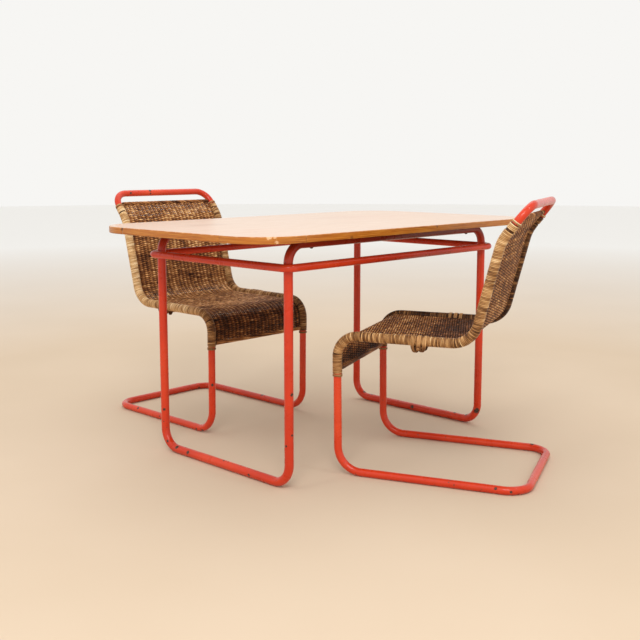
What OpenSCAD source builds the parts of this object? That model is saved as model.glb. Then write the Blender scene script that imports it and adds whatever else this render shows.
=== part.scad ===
// Child's table with two cantilever chairs, in bent steel tube, wood and woven cane.
// The origin is on the floor, under the middle of the set. X runs along the table.

/* [Table top] */
// Length of the table top
top_len = 1000; // [900:10:1200]
// Width of the table top
top_wid = 580; // [540:10:700]
// Height of the table top above the floor
top_height = 554; // [520:1:620]
// Thickness of the board
top_thick = 15; // [12:1:24]
// Radius of the board's rounded corners
corner_round = 106; // [60:1:120]
// Length of each side that belongs to the lipping of a corner
corner_reach = 124; // [120:1:160]
// Width of the solid wood lipping round the board
lip_wid = 12; // [6:1:20]

/* [Table frame] */
// Distance between leg centres along the table
leg_len = 709; // [620:1:800]
// Distance between leg centres across the table
leg_wid = 431; // [400:1:480]
// Diameter of the leg and rail tube
leg_dia = 20; // [18:1:25]
// Bend radius under the top
rail_bend = 40; // [35:1:60]
// Bend radius at the floor
foot_bend = 46; // [35:1:70]
// Diameter of the stretcher ring's tube
ring_dia = 17; // [12:1:20]
// Height of the stretcher ring's centre
ring_height = 482; // [420:1:490]
// Distance of each rail screw from the middle of the table
screw_reach = 285; // [150:1:300]

/* [Chair frame] */
// Distance between the centres of a chair's side tubes
chair_wid = 332; // [300:1:380]
// Diameter of the chair tube
chair_dia = 18; // [16:1:20]
// Length of a floor runner, centre to centre
runner_len = 422; // [400:1:440]
// Height of the seat rails' centre
seat_height = 318; // [300:1:340]
// Distance from the front legs back to where seat and back lines cross
seat_depth = 304; // [290:1:320]
// Height at which the back bends further backwards
kick_height = 540; // [500:1:550]
// How far the back leans back between the seat and that bend
back_lean = 56; // [40:1:70]
// Height of the top bar's centre
bar_height = 612; // [600:1:640]
// How far the back goes back above that bend
kick_reach = 57; // [40:1:70]
// Wall of every tube
wall = 1.5; // [1:0.1:2]

/* [Cane] */
// Thickness of the cane wrapped round the side tubes
wrap_thick = 2.2; // [1.5:0.1:3]
// Thickness of the woven panel
panel_thick = 6; // [5:0.5:8]
// Distance between stakes
stake_pitch = 13; // [11:0.5:16]
// Side of a stake
stake_side = 2.6; // [2:0.1:3]
// Height of the apron's lower edge rod
apron_height = 240; // [230:1:260]
// Gap from the top bar's centre down to the upper edge rod
handle_gap = 36; // [30:1:60]
// Distance of the rod under the seat behind the front legs
seat_rod_reach = 186; // [120:1:220]

/* [Placing] */
// Front chair: distance along X, distance along Y and turn in degrees
front_spot = [-44.7, -153.5, 21.85];
// Rear chair: distance along X, distance along Y and turn in degrees
rear_spot = [-31.8, 226, 180];

/* [Hidden] */
$fn = 64;
TABLE_NODES = ["top_core", "top_edge_front", "top_edge_rear", "top_edge_left",
               "top_edge_right", "top_corner_edges", "table_frame_front",
               "table_frame_rear", "table_frame_plugs", "stretcher_ring",
               "ring_brazing", "rail_screws"];
CHAIR_NODES = ["frame_left", "frame_right", "frame_plugs", "apron_rod", "back_rod",
               "seat_rod", "rod_lashings", "stakes", "woven_panel", "side_wrap_left",
               "side_wrap_right", "apron_border", "back_border", "wrap_collars"];

red = "firebrick";
honey = "peru";
cane = "burlywood";

leg_r = leg_dia / 2;
ring_r = ring_dia / 2;
tube_r = chair_dia / 2;
half_w = chair_wid / 2;
rail_z = top_height - top_thick - leg_r;
braze_r = 1.2;
braze_clear = 0.02;
screw_r = 2.2;
screw_clear = 0.05;
screw_head_r = 3.8;
screw_head_h = 2.4;
screw_bite = 11;
plug_len = 60;
plug_clear = 0.05;

// Bend radii of a chair's side, from the top bar down to the rear floor bar
bar_bend = 40;
kick_bend = 90;
lap_bend = 57;
knee_bend = 48;
foot_bend_chair = 55;
heel_bend = 50;

wrap_r = tube_r + wrap_thick;
wrap_clear = 0.1;
panel_half = half_w - wrap_r - 0.1;
rod_r = 3.5;
border_r = 5.6;
border_short = 1.6;
seat_rod_r = 4.5;
seat_rod_over = 14;
lash_thick = 2;
lash_wid = 12;
lash_strap = 7;
lash_sag = 4;
collar_len = 7.4;
stake_gap = 0.3;
stake_count = floor((panel_half - 6) / stake_pitch);
// A bend is thicker than its straight lengths by this much all round, so that they
// join at a clean step, and they reach this far into it
bend_grow = 0.04;
bend_reach = 0.4;
$grow = 0;
// The ring is bent closely round each leg
ring_out = leg_r + ring_r + bend_grow;
// How far the side wraps stop short of the back rod's middle, with a collar between,
// and how far they and their lower collars go on past the apron rod's
wrap_short = 12;
wrap_past = 8;
collar_gap = 0.1;
back_rod_short = 0.25;

// Reach of the whole set along Y, which puts the origin under its middle
heel_side = half_w - heel_bend;
heel_back = runner_len - heel_bend;
front_reach = -front_spot[1] + sin(front_spot[2]) * heel_side
              + cos(front_spot[2]) * heel_back + heel_bend + tube_r;
rear_reach = rear_spot[1] + runner_len + tube_r;
shift_y = (front_reach - rear_reach) / 2;

// Corners of a chair's side in its own frame: X across, Y forwards, Z up
bar_y = -seat_depth - back_lean - kick_reach + 3;
function bar_corner(x) = [x, bar_y, bar_height];
function kick_corner(x) = [x, 3 - seat_depth - back_lean, kick_height];
function lap_corner(x) = [x, 3 - seat_depth, seat_height];
function knee_corner(x) = [x, 3, seat_height];
function toe_corner(x) = [x, 0, tube_r];
function heel_corner(x) = [x, -runner_len, tube_r];

function unit(v) = v / norm(v);
kick_dir = unit(bar_corner(0) - kick_corner(0));
leg_dir = unit(knee_corner(0) - toe_corner(0));
// Middles of the two edge rods
back_rod_at = bar_corner(0) - handle_gap * kick_dir;
apron_rod_at = toe_corner(0) + (apron_height - tube_r) / leg_dir[2] * leg_dir;
seat_rod_at = [0, -seat_rod_reach, seat_height - wrap_r - seat_rod_r];

// ---- Bent bars ----

function turn(a, b) = acos(max(-1, min(1, a * b)));
function way(p, i) = unit(p[i + 1] - p[i]);
function bend_turn(p, i) = turn(way(p, i - 1), way(p, i));
function bend_axis(p, i) = unit(cross(way(p, i - 1), way(p, i)));
// Length that the bend at corner i takes off each side, and none at the ends
function trim(p, bends, i) =
    i == 0 || i == len(p) - 1 ? 0 : bends[i - 1] * tan(bend_turn(p, i) / 2);
// Turn about the bar's own line between the planes of the bends at corners i and i + 1
function roll(p, i) =
    let (a = bend_axis(p, i), b = bend_axis(p, i + 1))
    atan2(way(p, i) * cross(a, b), a * b);
// A matrix with the given axes as its columns
function axes(x, y, z, o) =
    [[x[0], y[0], z[0], o[0]], [x[1], y[1], z[1], o[1]], [x[2], y[2], z[2], o[2]],
     [0, 0, 0, 1]];
function across(d) = unit(cross(d, abs(d[0]) < 0.6 ? [1, 0, 0] : [0, 0, 1]));

// A straight length between two points, with the child as its section
module straight(from, to) {
    d = unit(to - from);
    u = across(d);
    multmatrix(axes(u, cross(d, u), d, from)) linear_extrude(norm(to - from)) children();
}

// A bend about the Y axis from +X upwards
module elbow(angle, bend) {
    $grow = bend_grow;
    rotate([90, 0, 0]) rotate_extrude(angle = angle) translate([bend, 0]) children();
}

// A bar along the corners p, bent at each inner corner to the radius in bends,
// and longer by extra at both ends
module bent(p, bends, extra = 0) {
    d = way(p, 0);
    x = cross(d, bend_axis(p, 1));
    multmatrix(axes(x, cross(d, x), d, p[0])) walk(p, bends, 0, extra) children();
}

// The bar from its length i onwards, drawn from where that length starts, along Z,
// with the next bend towards -X. Each length reaches a little into its bends.
module walk(p, bends, i, extra) {
    last = len(p) - 2;
    run = norm(p[i + 1] - p[i]) - trim(p, bends, i) - trim(p, bends, i + 1);
    before = i == 0 ? extra : bend_reach;
    after = i == last ? extra : bend_reach;
    translate([0, 0, -before]) linear_extrude(before + run + after) children();
    if (i < last) translate([-bends[i], 0, run]) {
        elbow(bend_turn(p, i + 1), bends[i]) children();
        rotate([0, -bend_turn(p, i + 1), 0]) translate([bends[i], 0, 0])
            rotate([0, 0, i < last - 1 ? roll(p, i + 1) : 0])
                walk(p, bends, i + 1, extra) children();
    }
}

module tube(p, bends, r) {
    difference() {
        bent(p, bends) circle(r + $grow);
        bent(p, bends, 1) circle(r - wall + $grow);
    }
}

module rod(from, to, r) {
    straight(from, to) circle(r);
}

// A short sleeve inside two tube ends that meet at a point
module plug(at, along, r) {
    half = along * plug_len / 2;
    difference() {
        rod(at - half, at + half, r - wall - plug_clear);
        rod(at - 2 * half, at + 2 * half, r - 2 * wall - plug_clear);
    }
}

// ---- Table top ----

module at_corners() {
    for (x = [0, 1], y = [0, 1]) mirror([x, 0, 0]) mirror([0, y, 0])
        translate([top_len / 2 - corner_round, top_wid / 2 - corner_round, top_height - top_thick])
            children();
}

// A block of the board's thickness, in the middle of the board
module slab(long, wide) {
    translate([-long / 2, -wide / 2, top_height - top_thick]) cube([long, wide, top_thick]);
}

// The lipping round one corner, with a short straight length at each end
module corner_lip() {
    inner = corner_round - lip_wid;
    past = corner_reach - corner_round;
    rotate_extrude(angle = 90) translate([inner, 0]) square([lip_wid, top_thick]);
    translate([inner, -past, 0]) cube([lip_wid, past, top_thick]);
    translate([-past, inner, 0]) cube([past, lip_wid, top_thick]);
}

module long_lip(side) {
    color(honey) translate([0, side * (top_wid - lip_wid) / 2, 0])
        slab(top_len - 2 * corner_reach, lip_wid);
}

module end_lip(side) {
    color(honey) translate([side * (top_len - lip_wid) / 2, 0, 0])
        slab(lip_wid, top_wid - 2 * corner_reach);
}

module at_screws() {
    for (x = [-1, 1], y = [-1, 1])
        translate([x * screw_reach, y * leg_wid / 2, rail_z]) children();
}

module top_core() {
    color("moccasin") difference() {
        union() {
            slab(top_len - 2 * corner_round, top_wid - 2 * lip_wid);
            slab(top_len - 2 * lip_wid, top_wid - 2 * corner_round);
            at_corners() cylinder(r = corner_round - lip_wid, h = top_thick);
        }
        at_screws() cylinder(r = screw_r + screw_clear, h = leg_r + screw_bite + 0.5);
    }
}

module top_edge_front() { long_lip(-1); }
module top_edge_rear() { long_lip(1); }
module top_edge_left() { end_lip(-1); }
module top_edge_right() { end_lip(1); }
module top_corner_edges() { color(honey) at_corners() corner_lip(); }

// ---- Table frame ----

// Half of the frame: two legs, the rail between them and half of each floor runner
module table_frame(side) {
    x = leg_len / 2;
    y = side * leg_wid / 2;
    color(red) difference() {
        tube([[-x, 0, leg_r], [-x, y, leg_r], [-x, y, rail_z], [x, y, rail_z],
              [x, y, leg_r], [x, 0, leg_r]],
             [foot_bend, rail_bend, rail_bend, foot_bend], leg_r);
        at_screws() translate([0, 0, -2 * leg_r])
            cylinder(r = screw_r + screw_clear, h = 4 * leg_r);
    }
}

module table_frame_front() { table_frame(-1); }
module table_frame_rear() { table_frame(1); }

module table_frame_plugs() {
    color("silver") for (x = [-1, 1])
        plug([x * leg_len / 2, 0, leg_r], [0, 1, 0], leg_r);
}

// One closed ring of tube round the outside of the four legs
module stretcher_ring() {
    x = leg_len / 2 + ring_out;
    y = leg_wid / 2 + ring_out;
    color(red) translate([0, 0, ring_height])
        tube([[0, -y, 0], [x, -y, 0], [x, y, 0], [-x, y, 0], [-x, -y, 0], [0, -y, 0]],
             [ring_out, ring_out, ring_out, ring_out], ring_r);
}

// Small brazed beads above and below the ring at each leg
module ring_brazing() {
    apart = ring_r + bend_grow + braze_r + braze_clear;
    rise = sqrt(pow(apart, 2) - pow(ring_out - leg_r - braze_r, 2));
    color(red) for (x = [-1, 1], y = [-1, 1], z = [-1, 1])
        translate([x * leg_len / 2, y * leg_wid / 2, ring_height + z * rise])
            rotate([0, 0, atan2(y, x) - 40])
                rotate_extrude(angle = 80) translate([leg_r + braze_r, 0]) circle(braze_r);
}

module rail_screws() {
    color("dimgray") at_screws() {
        translate([0, 0, -leg_r - screw_head_h]) cylinder(r = screw_head_r, h = screw_head_h);
        translate([0, 0, -leg_r]) cylinder(r = screw_r, h = 2 * leg_r + screw_bite);
    }
}

// ---- Chair ----

module place(spot) {
    translate([spot[0], spot[1], 0]) rotate([0, 0, spot[2]]) children();
}

// Half of the frame on one side, from the middle of the top bar to the middle
// of the rear floor bar
module chair_frame(side) {
    x = side * half_w;
    color(red)
        tube([bar_corner(0), bar_corner(x), kick_corner(x), lap_corner(x), knee_corner(x),
              toe_corner(x), heel_corner(x), heel_corner(0)],
             [bar_bend, kick_bend, lap_bend, knee_bend, foot_bend_chair, heel_bend], tube_r);
}

module chair_plugs() {
    color("silver") for (at = [bar_corner(0), heel_corner(0)]) plug(at, [1, 0, 0], tube_r);
}

module apron_rod() {
    reach = [half_w - tube_r, 0, 0];
    color("gray") rod(apron_rod_at - reach, apron_rod_at + reach, rod_r);
}

module back_rod() {
    reach = [half_w - tube_r - back_rod_short, 0, 0];
    color("gray") rod(back_rod_at - reach, back_rod_at + reach, rod_r);
}

// A stiffening rod under the seat rails
module seat_rod() {
    reach = [half_w + seat_rod_over, 0, 0];
    color(cane) rod(seat_rod_at - reach, seat_rod_at + reach, seat_rod_r);
}

// Turns round each seat rail on both sides of the rod, joined by a strap under it
module rod_lashings() {
    off = seat_rod_r + 0.4;
    drop = seat_rod_at[2] - seat_rod_r - 0.4 - seat_height;
    slot = [2 * panel_half + 2 * wrap_clear, 2 * lash_wid, panel_thick + 2 * wrap_clear];
    color(cane) for (x = [-half_w, half_w]) translate([x, -seat_rod_reach, seat_height]) {
        for (side = [-1, 1]) translate([0, side * (off + lash_wid / 2), 0]) {
            difference() {
                rotate([90, 0, 0])
                    cylinder(r = wrap_r + wrap_clear + lash_thick, h = lash_wid, center = true);
                rotate([90, 0, 0])
                    cylinder(r = wrap_r + wrap_clear, h = lash_wid + 2, center = true);
                translate([-x, 0, 0]) cube(slot, center = true);
            }
            difference() {
                translate([-lash_strap / 2, -lash_wid / 2, drop - lash_sag])
                    cube([lash_strap, lash_wid, lash_sag - drop - wrap_r]);
                rotate([90, 0, 0])
                    cylinder(r = wrap_r + wrap_clear, h = lash_wid + 2, center = true);
            }
        }
        translate([-lash_strap / 2, -off - 1, drop - lash_sag])
            cube([lash_strap, 2 * off + 2, lash_sag]);
    }
}

// The line that the cane follows at a distance x from the middle,
// from the upper edge rod to the lower one, each stopped short
function cane_line(x, short_top, short_low) =
    [[x, back_rod_at[1], back_rod_at[2]] - short_top * kick_dir, kick_corner(x),
     lap_corner(x), knee_corner(x),
     [x, apron_rod_at[1], apron_rod_at[2]] + short_low * leg_dir];
cane_bends = [kick_bend, lap_bend, knee_bend];

module stake_rows(side, short) {
    for (i = [-stake_count:stake_count])
        bent(cane_line(i * stake_pitch, short, short), cane_bends)
            square(side + 2 * $grow, center = true);
}

module stakes() {
    color(cane) stake_rows(stake_side, rod_r);
}

// The weft, woven across the stakes from side tube to side tube
module woven_panel() {
    color("sienna") difference() {
        bent(cane_line(0, border_r, border_r), cane_bends) panel_section();
        stake_rows(stake_side + 2 * stake_gap, rod_r);
    }
}

// Wide along the chair's X on every stretch and bend of the cane line
module panel_section() {
    square([panel_thick + 2 * $grow, 2 * panel_half + 2 * $grow], center = true);
}

// Cane wound round one side tube
module side_wrap(side) {
    line = cane_line(side * half_w, wrap_short, -wrap_past);
    color("tan") difference() {
        bent(line, cane_bends) circle(wrap_r + $grow);
        bent(line, cane_bends, 1) circle(tube_r + wrap_clear + $grow);
        apron_rod();
    }
}

// A plaited edge wound round a rod, with a groove for the stakes' ends
module border(at) {
    reach = [panel_half - border_short, 0, 0];
    color(cane) difference() {
        rod(at - reach, at + reach, border_r);
        rod(at - 2 * reach, at + 2 * reach, rod_r);
        stake_rows(stake_side + 2 * stake_gap, 0);
    }
}

// A tight binding at each end of the side wraps
module wrap_collars() {
    color("wheat") for (x = [-half_w, half_w]) {
        collar([x, back_rod_at[1], back_rod_at[2]] - (wrap_short - collar_gap) * kick_dir,
               kick_dir);
        collar([x, apron_rod_at[1], apron_rod_at[2]] - (wrap_past + collar_gap) * leg_dir,
               -leg_dir);
    }
}

module collar(at, along) {
    difference() {
        rod(at, at + collar_len * along, wrap_r);
        rod(at - along, at + (collar_len + 1) * along, tube_r + wrap_clear);
    }
}

module chair_node(name) {
    if (name == "frame_left") chair_frame(-1);
    if (name == "frame_right") chair_frame(1);
    if (name == "frame_plugs") chair_plugs();
    if (name == "apron_rod") apron_rod();
    if (name == "back_rod") back_rod();
    if (name == "seat_rod") seat_rod();
    if (name == "rod_lashings") rod_lashings();
    if (name == "stakes") stakes();
    if (name == "woven_panel") woven_panel();
    if (name == "side_wrap_left") side_wrap(-1);
    if (name == "side_wrap_right") side_wrap(1);
    if (name == "apron_border") border(apron_rod_at);
    if (name == "back_border") border(back_rod_at);
    if (name == "wrap_collars") wrap_collars();
}

translate([0, shift_y, 0]) {
    top_core();
    top_edge_front();
    top_edge_rear();
    top_edge_left();
    top_edge_right();
    top_corner_edges();
    table_frame_front();
    table_frame_rear();
    table_frame_plugs();
    stretcher_ring();
    ring_brazing();
    rail_screws();
    for (name = CHAIR_NODES) {
        place(front_spot) chair_node(name);
        place(rear_spot) chair_node(name);
    }
}
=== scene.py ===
"""Looks for a child's table and two cantilever chairs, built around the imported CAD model.

Lengths are in millimetres until place() turns them into the row frame's metres.
"""

import math

import bmesh
import bpy
import numpy as np
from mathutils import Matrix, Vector


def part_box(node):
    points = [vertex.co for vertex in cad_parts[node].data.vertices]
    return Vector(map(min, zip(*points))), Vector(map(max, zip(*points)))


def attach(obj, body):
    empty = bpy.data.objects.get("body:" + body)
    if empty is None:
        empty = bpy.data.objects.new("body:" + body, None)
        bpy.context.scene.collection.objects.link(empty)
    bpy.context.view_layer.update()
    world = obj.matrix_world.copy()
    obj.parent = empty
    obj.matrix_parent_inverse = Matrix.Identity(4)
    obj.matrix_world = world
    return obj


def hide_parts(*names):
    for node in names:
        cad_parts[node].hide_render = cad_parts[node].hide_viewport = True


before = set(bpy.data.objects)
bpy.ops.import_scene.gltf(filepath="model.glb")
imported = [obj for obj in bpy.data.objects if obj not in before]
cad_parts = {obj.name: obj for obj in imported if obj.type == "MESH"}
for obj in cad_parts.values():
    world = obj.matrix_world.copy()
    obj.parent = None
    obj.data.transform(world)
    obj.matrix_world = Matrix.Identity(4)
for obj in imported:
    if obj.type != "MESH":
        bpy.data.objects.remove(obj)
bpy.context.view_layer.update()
rng = np.random.default_rng(29)

MM = 0.001
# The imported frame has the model's box in the middle, so the table is a little off centre in it
low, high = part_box("top_core")
SHIFT_Y = (low.y + high.y) / 2 / MM

# ---- Sizes, as in the CAD source ----

# Where each body's own frame is, x and y, and how far it is turned, in degrees
TABLE = (0, 0, 0)
CHAIRS = {"front_chair": (-44.7, -153.5, 21.85), "rear_chair": (-31.8, 226, 180)}

TOP_LEN, TOP_WID, TOP_Z, TOP_THICK, LIP_WID = 1000, 580, 554, 15, 12
# The radius of the top's corners, and how far the curved lipping reaches from the square corner
CORNER_ROUND, CORNER_REACH = 106, 124
LEG_X, LEG_Y, LEG_R = 709 / 2, 431 / 2, 10
RAIL_Z = TOP_Z - TOP_THICK - LEG_R
RAIL_BEND, FOOT_BEND = 40, 46
# The ring's centre line passes this far outside the legs' own
RING_Z, RING_R, RING_OUT = 482, 8.5, 18.54
SCREW_X = 285

# Corners of a chair's side tube, as y and z, from the top bar down to the rear floor bar
HALF_W, TUBE_R, SEAT_Z = 166, 9, 318
BAR = (-414, 612)
KICK = (-357, 540)
LAP = (-301, SEAT_Z)
KNEE = (3, SEAT_Z)
TOE = (0, TUBE_R)
HEEL = (-422, TUBE_R)
BENDS = [40, 90, 57, 48, 55, 50]
# The back rod's distance below the top bar, and the height of the rod at the apron's lower edge
HANDLE_GAP, APRON_Z = 36, 240
WRAP_R = 11.2
PANEL_HALF = 154.7
STAKE_PITCH, STAKES = 13, 11
SEAT_ROD_Y, SEAT_ROD_R, SEAT_ROD_OVER = -186, 4.5, 14
BORDER_R, BORDER_HALF = 5.6, 153.1
# Where the side wraps start, below the top bend, and end, past the apron's rod
WRAP_SHORT, WRAP_PAST, COLLAR_LEN = 12, 8, 7.4


# ---- Lines and surfaces ----


def unit(v):
    """Vectors scaled to length 1."""
    v = np.asarray(v, float)
    return v / np.linalg.norm(v, axis=-1, keepdims=True)


def place(points, spot):
    """Points in a chair's or the table's own frame, in mm, as row frame points in metres."""
    x0, y0, turn = spot
    c, s = math.cos(math.radians(turn)), math.sin(math.radians(turn))
    p = np.asarray(points, float)
    x = x0 + c * p[..., 0] - s * p[..., 1]
    y = y0 + SHIFT_Y + s * p[..., 0] + c * p[..., 1]
    return np.stack([x, y, p[..., 2]], -1) * MM


def bent(corners, bends, arc_step=4.0, run_step=40.0):
    """A line along the corners, rounded at each inner one to the radius in bends."""
    corners = [np.array(c, float) for c in corners]
    points = [corners[0]]
    for before, corner, after, bend in zip(corners, corners[1:], corners[2:], bends):
        a, b = unit(before - corner), unit(after - corner)
        turn = math.pi - math.acos(float(np.clip(a @ b, -1, 1)))
        trim = bend * math.tan(turn / 2)
        centre = corner + unit(a + b) * bend / math.cos(turn / 2)
        start, end = corner + a * trim - centre, corner + b * trim - centre
        points += run(points[-1], centre + start, run_step)[1:]
        n = max(2, int(math.degrees(turn) / arc_step))
        for k in range(1, n + 1):
            t = k / n
            arc = math.sin((1 - t) * turn) * start + math.sin(t * turn) * end
            points.append(centre + arc / math.sin(turn))
    points += run(points[-1], corners[-1], run_step)[1:]
    return np.array(points)


def run(a, b, step):
    """Points from a to b, about step apart, with both ends."""
    n = max(1, int(np.linalg.norm(b - a) / step))
    return [a + (b - a) * k / n for k in range(n + 1)]


def lengths(points):
    """Distance along a line at each of its points."""
    return np.concatenate([[0], np.cumsum(np.linalg.norm(np.diff(points, axis=0), axis=1))])


def transport(points, start):
    """Normals along a line that don't twist, from the direction start."""
    t = unit(np.gradient(points, axis=0))
    normals = [unit(start - t[0] * (start @ t[0]))]
    for k in range(1, len(t)):
        n = normals[-1] - t[k] * (normals[-1] @ t[k])
        normals.append(unit(n))
    return np.array(normals)


def smooth_noise(count, reach):
    """A row of random numbers, smooth over reach of them, of spread about 1."""
    n = rng.normal(size=count + 6 * reach + 1)
    w = np.exp(-0.5 * (np.arange(-3 * reach, 3 * reach + 1) / reach) ** 2)
    return np.convolve(n, w / math.sqrt((w * w).sum()), "valid")[:count]


# The strand attribute: how far round the section counts as, and the spread of the starts
ROUND_REACH, START_SPREAD = 3, 500


class Surface:
    """One mesh in the making, with a tone and a place along its strand at each point."""

    def __init__(self):
        self.verts, self.faces, self.tones, self.strands, self.slots = [], [], [], [], []
        self.count = 0

    def add(self, verts, faces, tone, strand, slot=0):
        """More points and faces. slot is one material for all the faces, or one for each."""
        self.verts.append(verts)
        self.faces += [[i + self.count for i in f] for f in faces]
        self.tones.append(np.broadcast_to(tone, len(verts)))
        self.strands.append(strand)
        self.slots += [slot] * len(faces) if np.isscalar(slot) else list(slot)
        self.count += len(verts)

    def strand(self, points, normals, wide, thick, sides=6, tone=0.5, closed=False, ends=None,
               edge=0.0):
        """A tube along points with an oval section, thick along the normals and wide
        across them. ends is a share to shrink the last ring at each end to, and edge is
        how much painted shade darkens the section's two sides, where the strand meets its
        neighbours."""
        p = np.asarray(points, float)
        n = len(p)
        if closed:
            t = unit(np.roll(p, -1, 0) - np.roll(p, 1, 0))
        else:
            t = unit(np.gradient(p, axis=0))
        side = unit(np.cross(t, normals))
        up = np.cross(side, t)
        a = np.arange(sides) * 2 * math.pi / sides + math.pi / sides
        wide = np.broadcast_to(wide, n)[:, None, None]
        thick = np.broadcast_to(thick, n)[:, None, None]
        off = up[:, None] * thick * np.cos(a)[:, None] + side[:, None] * wide * np.sin(a)[:, None]
        if ends:
            off[0] *= ends
            off[-1] *= ends
        ring = p[:, None] + off
        i = np.arange(n if closed else n - 1)[:, None]
        k = np.arange(sides)[None]
        i2, k2 = (i + 1) % n, (k + 1) % sides
        faces = np.stack([i * sides + k, i * sides + k2, i2 * sides + k2, i2 * sides + k], -1)
        faces = faces.reshape(-1, 4).tolist()
        if not closed:
            faces.append(list(range(sides - 1, -1, -1)))
            faces.append([(n - 1) * sides + j for j in range(sides)])
        shift = np.repeat(rng.uniform(0, START_SPREAD), n * sides)
        strand = np.stack(
            [
                np.repeat(lengths(p), sides),
                np.tile(np.cos(a), n) * ROUND_REACH,
                np.tile(np.sin(a), n) * ROUND_REACH + shift,
            ],
            -1,
        )
        # The section's two sides are darkened by edge, as painted shade where strands meet
        tone = np.repeat(np.broadcast_to(tone, n), sides) - edge * np.tile(np.sin(a) ** 2, n)
        self.add(ring.reshape(-1, 3), faces, tone, strand)

    def tube(self, points, radius, sides=32, tone=0.5, closed=False, ends=None, start=(0, 0, 1)):
        """A round tube along points. start is any direction across its first run."""
        p = np.asarray(points, float)
        if closed:
            normals = np.broadcast_to(np.array(start, float), p.shape)
        else:
            normals = transport(p, np.array(start, float))
        self.strand(p, normals, radius, radius, sides, tone, closed, ends)

    def piece(self, name, spot, body, materials, stands_for):
        """The mesh as a piece that rides on a body and stands for CAD nodes."""
        mesh = bpy.data.meshes.new(name)
        verts = place(np.concatenate(self.verts), spot)
        mesh.from_pydata(verts.tolist(), [], self.faces)
        for m in materials:
            mesh.materials.append(m)
        mesh.polygons.foreach_set("use_smooth", [True] * len(self.faces))
        mesh.polygons.foreach_set("material_index", self.slots)
        tone = mesh.attributes.new("tone", "FLOAT", "POINT")
        tone.data.foreach_set("value", np.concatenate(self.tones).astype(np.float32))
        strand = mesh.attributes.new("strand", "FLOAT_VECTOR", "POINT")
        strand.data.foreach_set(
            "vector", np.concatenate(self.strands).astype(np.float32).ravel()
        )
        mesh.validate()
        mesh.update()
        obj = bpy.data.objects.new(name, mesh)
        bpy.context.scene.collection.objects.link(obj)
        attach(obj, body)
        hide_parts(*stands_for)
        return obj


# ---- Materials ----


class Graph:
    """A material's nodes, made by short calls that return sockets."""

    def __init__(self, name):
        self.material = bpy.data.materials.new(name)
        self.material.use_nodes = True
        self.tree = self.material.node_tree
        self.tree.nodes.clear()
        self.shader = self.node("ShaderNodeBsdfPrincipled")
        out = self.node("ShaderNodeOutputMaterial")
        self.tree.links.new(self.shader.outputs[0], out.inputs["Surface"])

    def node(self, kind, inputs=None, **props):
        n = self.tree.nodes.new(kind)
        for key, value in props.items():
            setattr(n, key, value)
        for key, value in (inputs or {}).items():
            self.set(n.inputs[key], value)
        return n

    def set(self, socket, value):
        if isinstance(value, bpy.types.NodeSocket):
            self.tree.links.new(value, socket)
        else:
            socket.default_value = value

    def math(self, kind, a, b=0.0, c=0.0, clamp=False):
        n = self.node("ShaderNodeMath", {0: a, 1: b, 2: c}, operation=kind, use_clamp=clamp)
        return n.outputs[0]

    def place(self):
        """The point's place on its object, in metres."""
        return self.node("ShaderNodeTexCoord").outputs["Object"]

    def attribute(self, name, output="Fac"):
        return self.node("ShaderNodeAttribute", attribute_name=name).outputs[output]

    def stretch(self, vector, scale):
        n = self.node("ShaderNodeVectorMath", {0: vector, 1: scale}, operation="MULTIPLY")
        return n.outputs[0]

    def noise(self, vector, scale, detail=2.0, rough=0.5, warp=0.0):
        inputs = {"Vector": vector, "Scale": scale, "Detail": detail, "Roughness": rough}
        n = self.node("ShaderNodeTexNoise", {**inputs, "Distortion": warp})
        return n.outputs["Fac"]

    def remap(self, value, a, b, to_a=0.0, to_b=1.0):
        """The range a to b as to_a to to_b, and no further."""
        n = self.node("ShaderNodeMapRange", {0: value, 1: a, 2: b, 3: to_a, 4: to_b})
        return n.outputs[0]

    def mix(self, share, a, b):
        """Colour a with a share of b, which is a socket or a plain colour."""
        b = b if isinstance(b, bpy.types.NodeSocket) else (*b, 1)
        n = self.node("ShaderNodeMix", {0: share, 6: a, 7: b}, data_type="RGBA")
        return n.outputs[2]

    def gap(self, a, b):
        """Distance between two points."""
        n = self.node("ShaderNodeVectorMath", {0: a, 1: b}, operation="DISTANCE")
        return n.outputs["Value"]

    def ramp(self, share, *stops):
        n = self.node("ShaderNodeValToRGB", {0: share})
        marks = n.color_ramp.elements
        while len(marks) < len(stops):
            marks.new(0.5)
        for mark, (at, colour) in zip(marks, stops):
            mark.position = at
            mark.color = (*colour, 1)
        return n.outputs[0]

    def bump(self, height, distance, strength=1.0, below=None):
        inputs = {"Height": height, "Distance": distance, "Strength": strength}
        if below is not None:
            inputs["Normal"] = below
        return self.node("ShaderNodeBump", inputs).outputs[0]

    def finish(self, colour, rough, normal=None, **fixed):
        """The material. fixed are the shader's own sockets, with _ for each space."""
        self.set(self.shader.inputs["Base Color"], colour)
        self.set(self.shader.inputs["Roughness"], rough)
        if normal is not None:
            self.set(self.shader.inputs["Normal"], normal)
        for key, value in fixed.items():
            self.set(self.shader.inputs[key.replace("_", " ")], value)
        return self.material


def rgb(r, g, b):
    """A display colour from 0 to 255 as a linear one."""
    c = [v / 255 for v in (r, g, b)]
    return tuple(v / 12.92 if v <= 0.04045 else ((v + 0.055) / 1.055) ** 2.4 for v in c)


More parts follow.
